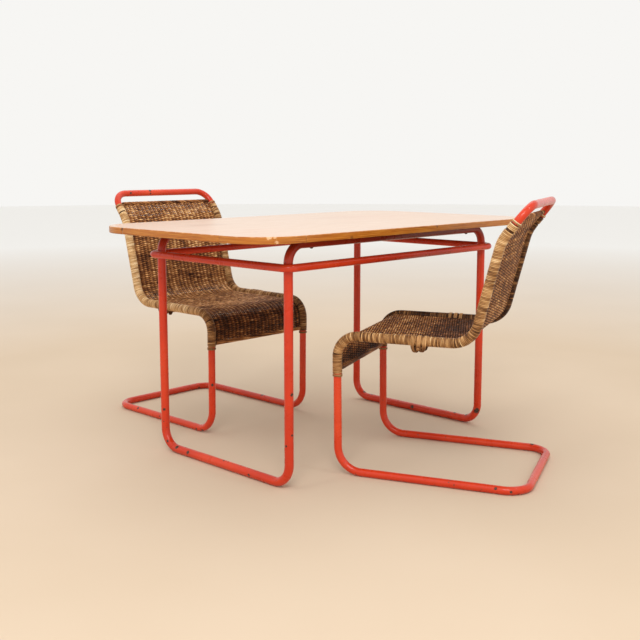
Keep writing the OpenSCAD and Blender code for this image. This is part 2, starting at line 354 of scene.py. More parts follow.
# Places where the enamel is worn through, with their radius: x, y, z, r in metres
CHIPS = [
    (-0.3624, 0.1814, 0.1022, 0.0042),
    (-0.3635, 0.1697, 0.0256, 0.0036),
    (-0.3614, 0.1358, 0.0173, 0.0058),
    (-0.3636, 0.0920, 0.0140, 0.0052),
    (-0.3562, -0.0312, 0.0198, 0.0032),
    (-0.3644, -0.1247, 0.0088, 0.0040),
    (-0.3547, -0.2535, 0.2125, 0.0046),
    (-0.3552, -0.2535, 0.1237, 0.0030),
    (-0.3644, -0.2446, 0.1004, 0.0034),
    (-0.2028, 0.1893, 0.1343, 0.0042),
    (0.0941, 0.6106, 0.0051, 0.0036),
    (-0.2046, 0.5128, 0.0149, 0.0042),
    (-0.2066, 0.4115, 0.0110, 0.0030),
    (0.1342, 0.3621, 0.0180, 0.0070),
    (-0.2065, 0.2533, 0.0066, 0.0038),
    (-0.2046, 0.2305, 0.0072, 0.0042),
    (0.3540, 0.1554, 0.0229, 0.0050),
    (0.3557, 0.1265, 0.0199, 0.0056),
    (0.3448, -0.0308, 0.0123, 0.0062),
    (0.3531, -0.1715, 0.0199, 0.0046),
    (0.3515, -0.2111, 0.0223, 0.0052),
    (0.3466, -0.2472, 0.0402, 0.0090),
    (0.2506, -0.4744, 0.0180, 0.0062),
    (-0.0721, -0.5799, 0.0137, 0.0040),
    (-0.0581, -0.6090, 0.0093, 0.0034),
    (-0.0772, 0.6061, 0.6188, 0.0044),
    (-0.0780, 0.6010, 0.6100, 0.0040),
    (-0.1454, 0.6031, 0.6132, 0.0040),
]


def red_enamel():
    """Thick red paint with orange peel, chipped through to a dark primer."""
    g = Graph("red_enamel")
    at = g.place()
    ragged = g.remap(g.noise(at, 330, 4, 0.7), 0.32, 0.68, 0.45, 1.3)
    worn = None
    for x, y, z, r in CHIPS:
        reach = g.math("DIVIDE", g.gap(at, (x, y, z)), r)
        chip = g.remap(g.math("DIVIDE", reach, ragged), 1.0, 0.86)
        worn = chip if worn is None else g.math("MAXIMUM", worn, chip)
    # Small knocks everywhere, more of them near the floor, each with a darker rim
    height = g.node("ShaderNodeSeparateXYZ", {0: at}).outputs["Z"]
    low_down = g.remap(height, 0.0, 0.16, 0.055, 0.0)
    spots = g.noise(at, 150, 2, 0.55)
    patches = g.remap(g.noise(at, 11, 2), 0.42, 0.62)
    small = g.math("MULTIPLY", g.remap(g.math("ADD", spots, low_down), 0.735, 0.745), patches)
    worn = g.math("MAXIMUM", worn, small, clamp=True)
    rim = g.remap(spots, 0.66, 0.74)
    paint = g.ramp(
        g.noise(at, 7, 4, 0.6),
        (0.30, (0.50, 0.026, 0.006)),
        (0.52, (0.60, 0.038, 0.009)),
        (0.72, (0.67, 0.058, 0.015)),
    )
    dull = g.remap(g.noise(at, 60, 4, 0.65), 0.35, 0.75)
    paint = g.mix(g.math("MULTIPLY", dull, 0.16), paint, (0.46, 0.05, 0.02))
    paint = g.mix(g.math("MULTIPLY", rim, 0.25), paint, (0.34, 0.03, 0.010))
    # Painted shade on the rails and the tops of the legs, just under the top
    under_top_shade = g.math("MULTIPLY", g.remap(height, 0.492, 0.524), g.remap(height, 0.552, 0.545))
    paint = g.mix(g.math("MULTIPLY", under_top_shade, 0.75), paint, (0.15, 0.012, 0.004))
    primer = g.ramp(
        g.noise(at, 300, 3, 0.6),
        (0.35, (0.020, 0.010, 0.008)),
        (0.60, (0.075, 0.040, 0.028)),
        (0.75, (0.20, 0.13, 0.09)),
    )
    colour = g.mix(worn, paint, primer)
    rough = g.mix(worn, g.remap(g.noise(at, 35, 3), 0.3, 0.7, 0.24, 0.36), (0.7, 0.7, 0.7))
    peel = g.bump(g.noise(at, 260, 2), 0.00025, 0.35)
    deep = g.bump(g.math("SUBTRACT", 1.0, worn), 0.0004, 0.8, peel)
    return g.finish(colour, rough, deep, Specular_IOR_Level=0.22, Coat_Weight=0.28,
                    Coat_Roughness=0.11)


# Stains and scratches on the top: x, y, z, radius in metres, and how strongly they show
BOARD_MARKS = [
    ((-0.3131, 0.0746, 0.554, 0.050), 0.16),
    ((-0.3845, -0.1782, 0.554, 0.0045), 0.60),
    ((-0.3960, -0.1700, 0.554, 0.0030), 0.35),
    ((0.1200, 0.0500, 0.554, 0.070), 0.08),
    ((-0.1000, -0.2100, 0.554, 0.0050), 0.30),
    ((0.2900, -0.1500, 0.554, 0.0060), 0.25),
]


def board_colour(g, at):
    """Pale veneer with faint straight grain along X, stains and marks."""
    grain = g.noise(g.stretch(at, (1.6, 42, 42)), 5, 5, 0.62, 0.4)
    fine = g.noise(g.stretch(at, (6, 400, 400)), 2, 2, 0.6)
    colour = g.ramp(
        grain,
        (0.28, rgb(206, 170, 142)),
        (0.48, rgb(215, 181, 154)),
        (0.72, rgb(221, 190, 164)),
    )
    colour = g.mix(g.remap(fine, 0.55, 0.8, 0, 0.22), colour, rgb(188, 140, 108))
    cloud = g.remap(g.noise(at, 4.5, 3, 0.55), 0.52, 0.72, 0, 0.35)
    colour = g.mix(cloud, colour, rgb(218, 168, 138))
    for (x, y, z, r), share in BOARD_MARKS:
        off = g.node("ShaderNodeVectorMath", {0: at, 1: (x, y, z)}, operation="SUBTRACT")
        long_x = g.stretch(off.outputs[0], (0.55, 1.0, 0.2))
        far = g.node("ShaderNodeVectorMath", {0: long_x}, operation="LENGTH").outputs["Value"]
        mark = g.remap(far, r, r * 0.35, 0, share)
        colour = g.mix(mark, colour, rgb(146, 92, 62))
    return colour


def board():
    """Lacquered veneer on top, raw wood underneath."""
    g = Graph("veneered_board")
    at = g.place()
    colour = board_colour(g, at)
    # The underside is left raw
    normal = g.node("ShaderNodeNewGeometry").outputs["Normal"]
    facing = g.node("ShaderNodeSeparateXYZ", {0: normal})
    under = g.remap(facing.outputs["Z"], -0.3, -0.7)
    raw = g.ramp(
        g.noise(g.stretch(at, (2, 38, 38)), 6, 5, 0.6, 0.6),
        (0.3, rgb(120, 78, 46)),
        (0.7, rgb(168, 118, 74)),
    )
    colour = g.mix(under, colour, raw)
    rough = g.remap(g.noise(g.stretch(at, (3, 20, 20)), 6, 4), 0.3, 0.7, 0.34, 0.46)
    pores = g.noise(g.stretch(at, (8, 500, 500)), 2, 2, 0.6)
    return g.finish(colour, rough, g.bump(pores, 0.0001, 0.35), Specular_IOR_Level=0.35,
                    Coat_Weight=0.5, Coat_Roughness=0.2)


# Chips and dark nicks on the lipping, in the same order, with the colour of each
PALE, DARK = (228, 186, 140), (70, 36, 16)
LIP_MARKS = [
    ((-0.5000, 0.1380, 0.5510, 0.0050), 0.7, DARK),
    ((-0.4587, -0.2960, 0.5530, 0.0050), 0.75, PALE),
    ((-0.4454, -0.3046, 0.5424, 0.0038), 0.70, PALE),
    ((-0.4486, -0.3027, 0.5530, 0.0034), 0.70, PALE),
    ((0.0600, -0.3180, 0.5520, 0.0040), 0.6, DARK),
    ((-0.2400, -0.3180, 0.5410, 0.0050), 0.5, DARK),
    ((0.3300, 0.2620, 0.5530, 0.0060), 0.7, PALE),
]


def lipping():
    """Varnished solid wood, with its grain along the strand."""
    g = Graph("varnished_lipping")
    at = g.place()
    strand = g.attribute("strand", "Vector")
    grain = g.noise(g.stretch(strand, (0.012, 0.55, 0.55)), 1, 5, 0.62, 0.8)
    colour = g.ramp(
        grain,
        (0.28, rgb(128, 68, 16)),
        (0.44, rgb(166, 94, 22)),
        (0.58, rgb(188, 120, 38)),
        (0.75, rgb(212, 152, 74)),
    )
    blotch = g.remap(g.noise(at, 9, 3, 0.6), 0.45, 0.75, 0, 0.45)
    colour = g.mix(blotch, colour, rgb(176, 96, 34))
    # Paler along the upper arris, partly wear and partly painted highlight, and darker along the
    # lower edge as painted shade
    tone = g.attribute("tone")
    ragged = g.math("ADD", tone, g.remap(g.noise(at, 60, 3, 0.6), 0.3, 0.7, -0.16, 0.16))
    colour = g.mix(g.remap(ragged, 0.80, 0.98, 0, 0.65), colour, rgb(214, 164, 116))
    colour = g.mix(g.remap(ragged, 0.26, 0.06, 0, 0.7), colour, rgb(96, 50, 18))
    for (x, y, z, r), share, tint in LIP_MARKS:
        edge = g.remap(g.noise(at, 420, 4, 0.7), 0.34, 0.66, r * 1.5, r * 0.3)
        mark = g.math("LESS_THAN", g.math("DIVIDE", g.gap(at, (x, y, z)), edge), 1.0)
        colour = g.mix(g.math("MULTIPLY", mark, share), colour, rgb(*tint))
    rough = g.remap(g.noise(at, 40, 3), 0.3, 0.7, 0.28, 0.42)
    return g.finish(colour, rough, g.bump(grain, 0.0002, 0.35), Specular_IOR_Level=0.3,
                    Coat_Weight=0.2, Coat_Roughness=0.2)


def cane(name, colours, rough, streak, patch, coat):
    """Split cane: every strand has its own tone, long fibres and patches of patina."""
    g = Graph(name)
    at = g.place()
    tone = g.attribute("tone")
    strand = g.attribute("strand", "Vector")
    fibre = g.noise(g.stretch(strand, (0.05, 1.1, 1.1)), 1, 3, 0.6)
    mottle = g.noise(at, 24, 3, 0.6)
    share = g.math("ADD", tone, g.remap(fibre, 0.25, 0.75, -streak, streak))
    share = g.math("ADD", share, g.remap(mottle, 0.3, 0.7, -patch, patch), clamp=True)
    colour = g.ramp(share, *colours)
    height = g.noise(g.stretch(strand, (0.08, 2.2, 2.2)), 1, 2, 0.5)
    shine = g.remap(g.noise(at, 90, 2), 0.3, 0.7, rough - 0.08, rough + 0.12)
    return g.finish(colour, shine, g.bump(height, 0.0003, 0.5), Specular_IOR_Level=0.14,
                    Coat_Weight=coat, Coat_Roughness=0.3)


def metal(name, colours, rough):
    g = Graph(name)
    at = g.place()
    colour = g.ramp(g.noise(at, 120, 4, 0.6), *colours)
    shine = g.remap(g.noise(at, 60, 3), 0.3, 0.7, rough - 0.1, rough + 0.15)
    return g.finish(colour, shine, g.bump(g.noise(at, 500, 2), 0.0002, 0.3), Metallic=0.85)


ENAMEL = red_enamel()
BOARD = board()
LIPPING = lipping()
WEFT = cane(
    "woven_cane",
    (
        (0.04, (0.010, 0.003, 0.0015)),
        (0.28, (0.055, 0.016, 0.005)),
        (0.50, (0.195, 0.070, 0.022)),
        (0.72, (0.450, 0.190, 0.060)),
        (0.95, (0.820, 0.490, 0.210)),
    ),
    0.45, 0.13, 0.14, 0.0,
)
WRAP = cane(
    "wrapping_cane",
    (
        (0.04, (0.030, 0.010, 0.004)),
        (0.28, (0.170, 0.070, 0.024)),
        (0.50, (0.430, 0.210, 0.075)),
        (0.75, (0.700, 0.430, 0.190)),
        (0.95, (0.900, 0.690, 0.410)),
    ),
    0.36, 0.15, 0.09, 0.08,
)
LIGHT = cane(
    "light_cane",
    (
        (0.02, (0.060, 0.025, 0.010)),
        (0.35, (0.280, 0.130, 0.045)),
        (0.65, (0.580, 0.370, 0.170)),
        (0.92, (0.880, 0.740, 0.520)),
    ),
    0.38, 0.15, 0.08, 0.05,
)
STEEL = metal("plain_steel", ((0.3, (0.20, 0.19, 0.18)), (0.7, (0.42, 0.41, 0.39))), 0.4)
# The rods inside the twisted borders are near black, as painted shade in the gaps between the
# border's strands
PAINTED_SHADE_CORE = metal("core_steel_painted_shade", ((0.3, (0.030, 0.020, 0.014)), (0.7, (0.075, 0.050, 0.035))), 0.6)
SCREW = metal("screw_steel", ((0.3, (0.035, 0.030, 0.028)), (0.7, (0.11, 0.10, 0.09))), 0.5)


# ---- Table ----

# How far the lipping's upper and lower edges are rounded
EASE_TOP, EASE_LOW = 2.0, 1.4
# Knocks in the lipping: place in row frame mm, radius, depth
DENTS = [
    ((-458.7, -296.0, 554), 5.0, 1.5),
    ((-445.4, -304.6, 541), 4.5, 1.1),
    ((-500, 137.5, 552), 4.0, 1.0),
    ((62, -318, 554), 4.0, 1.0),
    ((330, 262, 554), 6.0, 1.3),
    ((468.9, -287.1, 554), 5.0, 1.2),
    ((500, 90, 541), 5.0, 0.9),
]


def lip_section():
    """Depth, height and tone round the section of the lipping, from the inner top corner. The tone
    is high on the upper arris for a paler arris, partly wear and partly painted highlight, and low
    on the lower edge for painted shade.
    """
    section = [(LIP_WID, TOP_THICK, 0.5), (LIP_WID - 0.15, TOP_THICK, 0.5)]
    section.append((EASE_TOP + 0.3, TOP_THICK, 0.5))
    for k in range(6):
        a = math.radians(90 - 18 * k)
        d = EASE_TOP - EASE_TOP * math.cos(a)
        section.append((d, TOP_THICK - EASE_TOP + EASE_TOP * math.sin(a), 0.98 - 0.05 * k))
    for z in (11, 8, 5):
        section.append((0, z, 0.5))
    for k in range(5):
        a = math.radians(22.5 * k)
        d = EASE_LOW - EASE_LOW * math.cos(a)
        section.append((d, EASE_LOW - EASE_LOW * math.sin(a), 0.3 - 0.05 * k))
    section += [(EASE_LOW + 0.3, 0, 0.3), (LIP_WID - 0.15, 0, 0.3), (LIP_WID, 0, 0.3)]
    return section


LIP_STEP = 3.5


def side_line_of_top(start, end, outward):
    """Points and outward directions along a straight side of the board."""
    start, end = np.array(start, float), np.array(end, float)
    n = int(np.linalg.norm(end - start) / LIP_STEP)
    points = start + (end - start) * np.linspace(0, 1, n + 1)[:, None]
    return points, np.broadcast_to(np.array(outward, float), points.shape)


def corner_line_of_top(sx, sy, first):
    """The same round a corner, anticlockwise from the direction first in degrees, with the
    short straight ends that carry on past the curve."""
    a = np.radians(np.arange(0, 90.1, 1.5) + first)
    out = np.stack([np.cos(a), np.sin(a)], -1)
    ahead = np.stack([-np.sin(a), np.cos(a)], -1)
    centre = np.array([sx * (TOP_LEN / 2 - CORNER_ROUND), sy * (TOP_WID / 2 - CORNER_ROUND)])
    curve = centre + CORNER_ROUND * out
    n = 6
    past = (CORNER_REACH - CORNER_ROUND) * np.arange(1, n + 1)[:, None] / n
    points = [curve[0] - ahead[0] * past[::-1], curve, curve[-1] + ahead[-1] * past]
    outward = [np.repeat(out[:1], n, 0), out, np.repeat(out[-1:], n, 0)]
    return np.concatenate(points), np.concatenate(outward)


TOP_FACES = 2  # the lipping's faces on top, next to the board, which look like the board
MID_EDGE = 547  # dents above this height push down, those below it push up


def lip(surface, line, shift):
    """The lipping along a side or corner of the board. shift moves its grain."""
    points, outward = line
    section = np.array(lip_section())
    n, m = len(points), len(section)
    verts = np.zeros((n, m, 3))
    verts[..., :2] = points[:, None] - outward[:, None] * section[None, :, :1]
    verts[..., 2] = TOP_Z - TOP_THICK + section[:, 1]
    verts = verts.reshape(-1, 3)
    out = np.repeat(np.c_[outward, np.zeros(n)], m, 0)
    for centre, radius, depth in DENTS:
        c = np.array(centre) - [0, SHIFT_Y, 0]
        near = np.clip(1 - np.linalg.norm(verts - c, axis=1) / radius, 0, 1)
        verts -= (near * depth)[:, None] * (out + [0, 0, 0.6 * np.sign(centre[2] - MID_EDGE)])
    faces, slots = [], []
    for k in range(n - 1):
        for j in range(m):
            j2 = (j + 1) % m
            faces.append([k * m + j, (k + 1) * m + j, (k + 1) * m + j2, k * m + j2])
            slots.append(1 if j < TOP_FACES else 0)
    faces += [list(range(m)), [(n - 1) * m + j for j in range(m - 1, -1, -1)]]
    slots += [0, 0]
    along = np.repeat(lengths(np.c_[points, np.zeros(n)]), m)
    depth, height = np.tile(section[:, 0], n), np.tile(section[:, 1], n)
    strand = np.stack([along + 400 * shift, depth, height + 37 * shift], -1)
    surface.add(verts, faces, np.tile(section[:, 2], n), strand, slots)


def table_top():
    """The lipping round the board: four straight lengths and the curved corners."""
    x, y = TOP_LEN / 2, TOP_WID / 2
    a, b = x - CORNER_REACH, y - CORNER_REACH
    sides = {
        "front": ((-a, -y), (a, -y), (0, -1)),
        "right": ((x, -b), (x, b), (1, 0)),
        "rear": ((a, y), (-a, y), (0, 1)),
        "left": ((-x, b), (-x, -b), (-1, 0)),
    }
    finish = [LIPPING, BOARD]
    for shift, (name, side) in enumerate(sides.items()):
        s = Surface()
        lip(s, side_line_of_top(*side), shift)
        s.piece(f"lipping_{name}", TABLE, "table", finish, [f"top_edge_{name}"])
    s = Surface()
    corners = ((1, -1, -90), (1, 1, 0), (-1, 1, 90), (-1, -1, 180))
    for shift, corner in enumerate(corners, len(sides)):
        lip(s, corner_line_of_top(*corner), shift)
    s.piece("lipping_corners", TABLE, "table", finish, ["top_corner_edges"])


TUBE_END = 0.975  # a tube's last ring, as a share of its radius


def with_ends(points, reach=(0.25, 0.5, 1.2)):
    """The line with more points close to each end, where a tube's end is eased."""
    a = [points[0] + unit(points[1] - points[0]) * r for r in reach]
    b = [points[-1] + unit(points[-2] - points[-1]) * r for r in reach[::-1]]
    return np.concatenate([points[:1], a, points[1:-1], b, points[-1:]])


def table_frame():
    """The two bent halves of the leg tube, and the ring round the legs."""
    for name, side in (("front", -1), ("rear", 1)):
        x, y = LEG_X, side * LEG_Y
        corners = [(-x, 0, LEG_R), (-x, y, LEG_R), (-x, y, RAIL_Z), (x, y, RAIL_Z),
                   (x, y, LEG_R), (x, 0, LEG_R)]
        line = bent(corners, [FOOT_BEND, RAIL_BEND, RAIL_BEND, FOOT_BEND])
        s = Surface()
        s.tube(with_ends(line), LEG_R, ends=TUBE_END, start=(1, 0, 0))
        stands_for = [f"table_frame_{name}"]
        s.piece(f"table_tube_{name}", TABLE, "table", [ENAMEL], stands_for)
    x, y = LEG_X + RING_OUT, LEG_Y + RING_OUT
    corners = [(0, -y, 0), (x, -y, 0), (x, y, 0), (-x, y, 0), (-x, -y, 0), (0, -y, 0)]
    line = bent(corners, [RING_OUT] * 4)[:-1] + [0, 0, RING_Z]
    s = Surface()
    s.tube(line, RING_R, closed=True)
    s.piece("ring_tube", TABLE, "table", [ENAMEL], ["stretcher_ring"])


def brazing():
    """Uneven beads of braze above and below the ring, round each leg."""
    s = Surface()
    apart, bead, n = RING_R + 1.26, 1.15, 22
    rise = math.sqrt(apart**2 - (RING_OUT - LEG_R - bead) ** 2)
    for sx in (-1, 1):
        for sy in (-1, 1):
            for sz in (-1, 1):
                middle = math.atan2(sy, sx)
                a = middle + np.radians(np.linspace(-42, 42, n))
                r = LEG_R + bead - 0.3
                line = np.stack([sx * LEG_X + r * np.cos(a), sy * LEG_Y + r * np.sin(a),
                                 np.full(n, RING_Z + sz * rise)], -1)
                line[:, 2] += 0.15 * smooth_noise(n, 2)
                fat = bead * (1 + 0.12 * smooth_noise(n, 1))
                fat[[0, -1]] *= 0.4
                s.strand(line, np.broadcast_to([0, 0, 1.0], line.shape), fat, fat, 8)
    s.piece("braze_beads", TABLE, "table", [ENAMEL], ["ring_brazing"])


DOME_RINGS, DOME_STEPS = 7, 13


def half_dome(at, radius, height, slot_half, turn, side):
    """The part of a screw's dome on one side of its slot, hanging from the point at."""
    verts, faces = [], []
    c, q = math.cos(turn), math.sin(turn)
    for i in range(DOME_RINGS):
        f = math.radians(80 * i / (DOME_RINGS - 1))
        r, z = radius * math.cos(f), at[2] - height * math.sin(f)
        for k in range(DOME_STEPS):
            a = math.pi * k / (DOME_STEPS - 1)
            u, v = r * math.cos(a), max(slot_half, r * math.sin(a)) * side
            verts.append((at[0] + u * c - v * q, at[1] + u * q + v * c, z))
    n = DOME_STEPS
    for i in range(DOME_RINGS - 1):
        for k in range(i * n, i * n + n - 1):
            faces.append([k, k + 1, k + n + 1, k + n])
    left = [i * n for i in range(DOME_RINGS)]
    right = [i * n + n - 1 for i in range(DOME_RINGS)]
    faces += [left + right[::-1], list(range(n)), list(range(left[-1], left[-1] + n))]
    return np.array(verts), faces


def screws():
    """Slotted round-headed screws up through the rails into the board."""
    s = Surface()
    head_r, head_h, shank_r, bite = 3.8, 2.4, 2.2, 11
    slot_half, slot_deep = 0.45, 1.1
    for sx in (-1, 1):
        for sy in (-1, 1):
            x, y, z = sx * SCREW_X, sy * LEG_Y, RAIL_Z - LEG_R
            turn = 0.6 * sx + 0.9 * sy
            for side in (-1, 1):
                verts, faces = half_dome((x, y, z), head_r, head_h, slot_half, turn, side)
                s.add(verts, faces, 0.5, verts)
            # The slot's floor and the shank
            line = np.array([[x, y, z - head_h + slot_deep], [x, y, z - 0.01], [x, y, z],
                             [x, y, RAIL_Z + LEG_R + bite]])
            up = np.broadcast_to([1.0, 0, 0], line.shape)
            s.strand(line[:2], up[:2], head_r * 0.93, head_r * 0.93, 24)
            s.strand(line[2:], up[2:], shank_r, shank_r, 16)
    heads = s.piece("rail_screw_heads", TABLE, "table", [SCREW], ["rail_screws"])
    shell = bmesh.new()
    shell.from_mesh(heads.data)
    bmesh.ops.recalc_face_normals(shell, faces=shell.faces)
    shell.to_mesh(heads.data)
    shell.free()


# ---- Chairs ----


def at_x(x, corner):
    """A corner of the side tube, given as y and z, at x."""
    return np.array([x, corner[0], corner[1]], float)


# The side tube's directions at its top end and down the front leg, and where the rods lie
KICK_DIR = unit(at_x(0, BAR) - at_x(0, KICK))
LEG_DIR = unit(at_x(0, KNEE) - at_x(0, TOE))
BACK_ROD = at_x(0, BAR) - HANDLE_GAP * KICK_DIR
APRON_ROD = at_x(0, TOE) + (APRON_Z - TUBE_R) / LEG_DIR[2] * LEG_DIR

# The line that the cane follows, in the chair's middle plane, from rod to rod
CANE_CORNERS = [BACK_ROD, at_x(0, KICK), at_x(0, LAP), at_x(0, KNEE), APRON_ROD]
FINE = {"arc_step": 1.0, "run_step": 2.0}
CANE = bent(CANE_CORNERS, BENDS[1:4], **FINE)
CANE_S = lengths(CANE)
CANE_LEN = CANE_S[-1]
CANE_T = unit(np.gradient(CANE, axis=0))


def on_cane(s):
    """Points and normals, towards the sitter, at distances s along the cane's line."""
    p = np.stack([np.interp(s, CANE_S, CANE[:, k]) for k in range(3)], -1)
    t = unit(np.stack([np.interp(s, CANE_S, CANE_T[:, k]) for k in range(3)], -1))
    normal = np.stack([np.zeros_like(s), -t[..., 2], t[..., 1]], -1)
    return p, normal


def window(s, start, end, ease):
    """1 between start and end, easing to 0 over ease on both sides."""
    rise = np.clip((s - start) / ease, 0, 1)
    fall = np.clip((end - s) / ease, 0, 1)
    t = np.minimum(rise, fall)
    return t * t * (3 - 2 * t)


SEAT_SAG, BACK_SAG = 3.0, 1.6


def sag(x, s):
    """How far the worn panel hangs below the flat at distance x from the middle."""
    across = 1 - np.clip(np.abs(x) / PANEL_HALF, 0, 1) ** 2
    seat = SEAT_SAG * window(s, 290, CANE_LEN - 90, 130)
    return across * (seat + BACK_SAG * window(s, 20, 250, 90))


def frame_tubes(chair, spot):
    """The two bent halves of a chair's tube."""
    for name, side in (("left", -1), ("right", 1)):
        x = side * HALF_W
        corners = [at_x(0, BAR), at_x(x, BAR), at_x(x, KICK), at_x(x, LAP), at_x(x, KNEE),
                   at_x(x, TOE), at_x(x, HEEL), at_x(0, HEEL)]
        s = Surface()
        s.tube(with_ends(bent(corners, BENDS)), TUBE_R, ends=TUBE_END)
        stands_for = [f"{chair}_frame_{name}"]
        s.piece(f"{chair}_tube_{name}", spot, chair, [ENAMEL], stands_for)


# The weft's rows, its half width between stakes and how much wider it is as it passes one, half
# its thickness, and how far it swings out round the stakes
WEFT_PITCH, WEFT_THIN, WEFT_SPREAD, WEFT_THICK = 2.85, 1.52, 0.95, 1.22
WEAVE_DEPTH = 1.62
# Where the weft turns back at the sides, and where the seat's weft takes over from the back's
TURN_X, SEAT_START = 152.0, 268
WEFT_POINTS = 93


def weft_tone(chair, s):
    """Tone of the woven field at distances s from the back rod: lighter and darker bands along it,
    and darkest on the apron as painted shade.
    """
    if chair == "rear_chair":
        tone = 0.71 - 0.10 * window(s, 120, 270, 60) + 0.01 * window(s, 270, 480, 90)
        return tone - 0.24 * window(s, 520, CANE_LEN + 60, 60)
    tone = 0.66 - 0.20 * window(s, 240, 440, 70) + 0.04 * window(s, 440, 570, 50)
    return tone - 0.22 * window(s, 580, CANE_LEN + 60, 50)


def weft(chair, spot):
    """Wefts woven to and fro over and under the stakes, one for the back, one for the seat."""
    first, last = BORDER_R - 0.4, CANE_LEN - BORDER_R - 0.2
    rows = int(round((last - first) / WEFT_PITCH))
    pitch = (last - first) / rows
    split = int(SEAT_START / pitch)
    xs = np.linspace(-TURN_X, TURN_X, WEFT_POINTS)
    turn = np.radians([-55, 0, 55])
    for name, span in (("back", range(split)), ("seat", range(split, rows))):
        X, S, O, D = [], [], [], []
        for j in span:
            way = 1 if j % 2 == 0 else -1
            s0 = first + (j + 0.5) * pitch
            x = xs * way
            X.append(x)
            S.append(s0 + 0.16 * smooth_noise(len(xs), 12))
            O.append(WEAVE_DEPTH * np.cos(math.pi * (x / STAKE_PITCH + j)))
            D.append(0.05 * rng.normal() + 0.08 * smooth_noise(len(xs), 2))
            if j < span[-1]:
                X.append(way * (TURN_X + pitch / 2 * np.cos(turn)))
                S.append(s0 + pitch / 2 + pitch / 2 * np.sin(turn))
                edge = WEAVE_DEPTH * math.cos(math.pi * (TURN_X / STAKE_PITCH + j))
                O.append(edge * np.array([0.6, 0.0, -0.6]))
                D.append(np.zeros(3))
        x, s, o, d = map(np.concatenate, (X, S, O, D))
        p, normal = on_cane(s)
        p = p + normal * (o - sag(x, s))[:, None]
        p[:, 0] = x
        bulge = (o / WEAVE_DEPTH) ** 2
        # Painted highlight where the weft crosses over or under a stake, and painted shade in the
        # hollows between the stakes
        tone = weft_tone(chair, s) + d + 0.34 * (bulge - 0.5)
        wide = (WEFT_THIN + WEFT_SPREAD * bulge) * (1 + 0.04 * smooth_noise(len(x), 5))
        surface = Surface()
        surface.strand(p, normal, wide, WEFT_THICK, 6, tone, edge=0.30)
        surface.piece(f"{chair}_weft_{name}", spot, chair, [WEFT],
                      [f"{chair}_woven_panel"])


def stakes(chair, spot):
    """Rods along the panel that the weft goes round."""
    surface = Surface()
    s = np.arange(0, CANE_LEN, 5.0)
    for i in range(-STAKES, STAKES + 1):
        x = np.full(len(s), float(i * STAKE_PITCH))
        p, normal = on_cane(s)
        p = p - normal * sag(x, s)[:, None]
        p[:, 0] = x + 0.25 * smooth_noise(len(s), 8)
        surface.strand(p, normal, 2.1, 1.1, 8, 0.20 + 0.06 * rng.normal())
    surface.piece(f"{chair}_stake_canes", spot, chair, [WEFT], [f"{chair}_stakes"])


def side_line(side):
    """A side tube's centreline from the middle of the top bar down to the floor, with
    normals, distances along it, and the distances where the wrap starts and ends."""
    x = side * HALF_W
    corners = [at_x(0, BAR), at_x(x, BAR), at_x(x, KICK), at_x(x, LAP), at_x(x, KNEE), at_x(x, TOE)]
    line = bent(corners, BENDS[:4], **FINE)
    s = lengths(line)
    bend_start = at_x(x, BAR) - BENDS[0] * KICK_DIR
    top = s[np.argmin(np.linalg.norm(line - bend_start, axis=1))]
    start = top + WRAP_SHORT - (BENDS[0] - HANDLE_GAP)
    rod = APRON_ROD + [x, 0, 0]
    end = s[np.argmin(np.linalg.norm(line - rod, axis=1))] + WRAP_PAST
    return line, transport(line, np.array([0, 1.0, 0])), s, start, end


def coil(surface, line, normals, s, at, phase, radius, wide, thick, tone, sides, edge):
    """A strand wound on the line at distances at, turned by phase there."""
    p = np.stack([np.interp(at, s, line[:, k]) for k in range(3)], -1)
    t = unit(np.gradient(line, axis=0))
    t = unit(np.stack([np.interp(at, s, t[:, k]) for k in range(3)], -1))
    a = unit(np.stack([np.interp(at, s, normals[:, k]) for k in range(3)], -1))
    b = np.cross(t, a)
    out = a * np.cos(phase)[:, None] + b * np.sin(phase)[:, None]
    surface.strand(p + out * np.asarray(radius)[..., None], out, wide, thick, sides, tone,
                   edge=edge)


PER_TURN = 18  # points on each turn of a wrap
# The inner layer's thickness, and how far out the turns' middle is and half their thickness
WRAP_LAYER, WRAP_RIDE, WRAP_THICK = 0.75, 1.1, 1.05

# How light each side wrap is, as painted light and shade, lighter on the side towards the key lamp:
# on the back, along the seat, and down the front, with the distances from its top where those start
# and end
WRAP_SPANS = (60, 250, 470, 540)
WRAP_LIGHT_AND_SHADE = {
    ("front_chair", -1): (0.70, 0.51, 0.58),
    ("front_chair", 1): (0.34, 0.20, 0.30),
    ("rear_chair", -1): (0.60, 0.55, 0.50),
    ("rear_chair", 1): (0.86, 0.78, 0.48),
}


